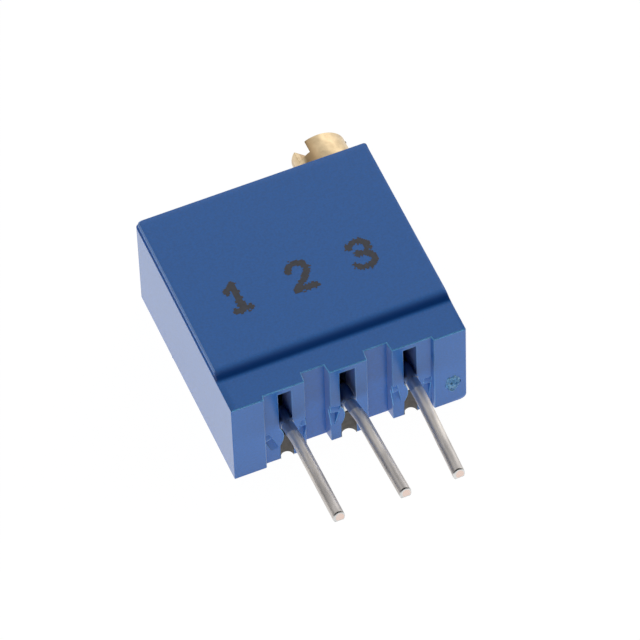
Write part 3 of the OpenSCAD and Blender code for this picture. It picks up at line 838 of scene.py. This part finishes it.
def inked_cells(sign, middle_x):
    """The cells of the grid that one digit's strokes cover."""
    lines = [[(middle_x + (x - DIGIT_MIDDLE) * DIGIT_HEIGHT, DIGIT_Y + y * DIGIT_HEIGHT) for x, y in line]
             for line in STROKES[sign]]
    columns = range(int((middle_x - DIGIT_HEIGHT) / CELL), int((middle_x + DIGIT_HEIGHT) / CELL))
    rows = range(int((DIGIT_Y - MARGIN) / CELL), int((DIGIT_Y + DIGIT_HEIGHT + MARGIN) / CELL))
    for i in columns:
        for j in rows:
            reach = HALF_STROKE * (1 + RAGGED_SHARE * random.uniform(-1, 1))
            if near_stroke((i + 0.5) * CELL, (j + 0.5) * CELL, lines) < reach:
                yield i, j


def terminal_numbers():
    """One thin film of ink for all the digits."""
    bm = bmesh.new()
    corners = {}

    def corner(i, j):
        if (i, j) not in corners:
            corners[i, j] = bm.verts.new((i * CELL * MM, j * CELL * MM, INK_Z[1] * MM))
        return corners[i, j]

    for sign, middle_x in (("1", -PITCH), ("2", 0.0), ("3", PITCH)):
        for i, j in inked_cells(sign, middle_x):
            bm.faces.new((corner(i, j), corner(i + 1, j), corner(i + 1, j + 1), corner(i, j + 1)))
    film = bmesh.ops.extrude_face_region(bm, geom=bm.faces[:])
    for v in film["geom"]:
        if isinstance(v, bmesh.types.BMVert):
            v.co.z = INK_Z[0] * MM
    for edge in bm.edges:
        edge.smooth = False
    marking = piece("terminal_numbers", bm, [ink])


terminal_numbers()

# Light and floor
WHITE = (1, 1, 1, 1)
FLOOR_SIZE = 4000
FLOOR_Z = -2.25
FLOOR_GREY = (0.8, 0.8, 0.8, 1)
FLOOR_GLOW = 0.95
# the table's own light in front of the part and behind it, and where it fades from one to the other
TABLE_FRONT = 0.93
TABLE_BACK = 0.75
TABLE_FADE_Y = (-6, 3)
# the soft boxes' directions (degrees from +X towards +Y, degrees above the floor) and their brightness
SOFT_BOXES = [(35, 15, 1.374), (90, 15, 0.316), (90, 50, 0.432), (150, 50, 0.404), (215, 20, 0.1)]
# the cosine of the angle from a box's middle to its rim
BOX_RIM = 0.6


def floor_material():
    """What sees the floor directly sees white, and its diffuse part keeps the part's shadow. The table is
    lit from within, as in a light tent, more in front of the part than behind it."""
    mat = bpy.data.materials.new("floor_white")
    mat.use_nodes = True
    tree = mat.node_tree
    tree.nodes.clear()
    diffuse = tree.nodes.new("ShaderNodeBsdfDiffuse")
    diffuse.inputs["Color"].default_value = FLOOR_GREY
    lit = tree.nodes.new("ShaderNodeEmission")
    lit.inputs["Color"].default_value = WHITE
    table = fade_mm(tree, place(tree)["Y"], TABLE_FADE_Y, TABLE_FRONT, TABLE_BACK)
    tree.links.new(table, lit.inputs["Strength"])
    both = tree.nodes.new("ShaderNodeAddShader")
    tree.links.new(diffuse.outputs[0], both.inputs[0])
    tree.links.new(lit.outputs[0], both.inputs[1])
    glow = tree.nodes.new("ShaderNodeEmission")
    glow.inputs["Color"].default_value = WHITE
    glow.inputs["Strength"].default_value = 1.0
    ray = tree.nodes.new("ShaderNodeLightPath").outputs
    seen = calculate(tree, "MAXIMUM", ray["Is Camera Ray"], ray["Is Glossy Ray"])
    seen = calculate(tree, "MAXIMUM", seen, ray["Is Transmission Ray"])
    mix = tree.nodes.new("ShaderNodeMixShader")
    tree.links.new(calculate(tree, "MULTIPLY", seen, FLOOR_GLOW), mix.inputs["Fac"])
    tree.links.new(both.outputs[0], mix.inputs[1])
    tree.links.new(glow.outputs[0], mix.inputs[2])
    out = tree.nodes.new("ShaderNodeOutputMaterial")
    tree.links.new(mix.outputs[0], out.inputs["Surface"])
    return mat


def stage_floor():
    """A large pale floor just under the part."""
    bpy.ops.mesh.primitive_plane_add(size=FLOOR_SIZE * MM, location=(0, 0, FLOOR_Z * MM))
    floor = bpy.context.object
    floor.name = "floor"
    floor.data.materials.append(floor_material())


def direction(azimuth, elevation):
    """The direction at these degrees from +X towards +Y, and above the floor."""
    a, e = math.radians(azimuth), math.radians(elevation)
    return Vector((math.cos(e) * math.cos(a), math.cos(e) * math.sin(a), math.sin(e)))


def studio_sky():
    """Soft boxes around the part: each is a round patch of the sky that fades out towards its rim."""
    world = bpy.data.worlds.new("studio")
    scene.world = world
    world.use_nodes = True
    tree = world.node_tree
    coord = tree.nodes.new("ShaderNodeTexCoord")
    total = 0.0
    for azimuth, elevation, strength in SOFT_BOXES:
        facing = tree.nodes.new("ShaderNodeVectorMath")
        facing.operation = "DOT_PRODUCT"
        facing.inputs[1].default_value = direction(azimuth, elevation)
        tree.links.new(coord.outputs["Generated"], facing.inputs[0])
        box = fade(tree, facing.outputs["Value"], BOX_RIM, 1.0, 0.0, strength)
        total = calculate(tree, "ADD", total, box)
    background = tree.nodes["Background"]
    background.inputs["Color"].default_value = WHITE
    tree.links.new(total, background.inputs["Strength"])


stage_floor()
studio_sky()
scene.view_settings.view_transform = "Standard"

# Camera
# fitted to the photograph's edges: its place in millimetres and its directions to the right and ahead
CAMERA_AT = (-53.52, -135.74, 199.53)
CAMERA_RIGHT = (0.9213, -0.3883, -0.0228)
CAMERA_AHEAD = (0.2164, 0.5602, -0.7996)
FOCAL_PX = 6582.5
IMAGE_PX = 640
SENSOR_WIDTH = 36.0


def fitted_camera():
    data = bpy.data.cameras.new("camera")
    data.sensor_width = SENSOR_WIDTH
    data.lens = FOCAL_PX / IMAGE_PX * SENSOR_WIDTH
    data.clip_start = 0.01
    data.clip_end = 10.0
    camera = bpy.data.objects.new("camera", data)
    ahead = Vector(CAMERA_AHEAD).normalized()
    right = Vector(CAMERA_RIGHT)
    right = (right - ahead * right.dot(ahead)).normalized()
    turn = Matrix((right, right.cross(ahead), -ahead)).transposed()
    camera.matrix_world = Matrix.Translation(Vector(CAMERA_AT) * MM) @ turn.to_4x4()
    scene.collection.objects.link(camera)
    scene.camera = camera


fitted_camera()
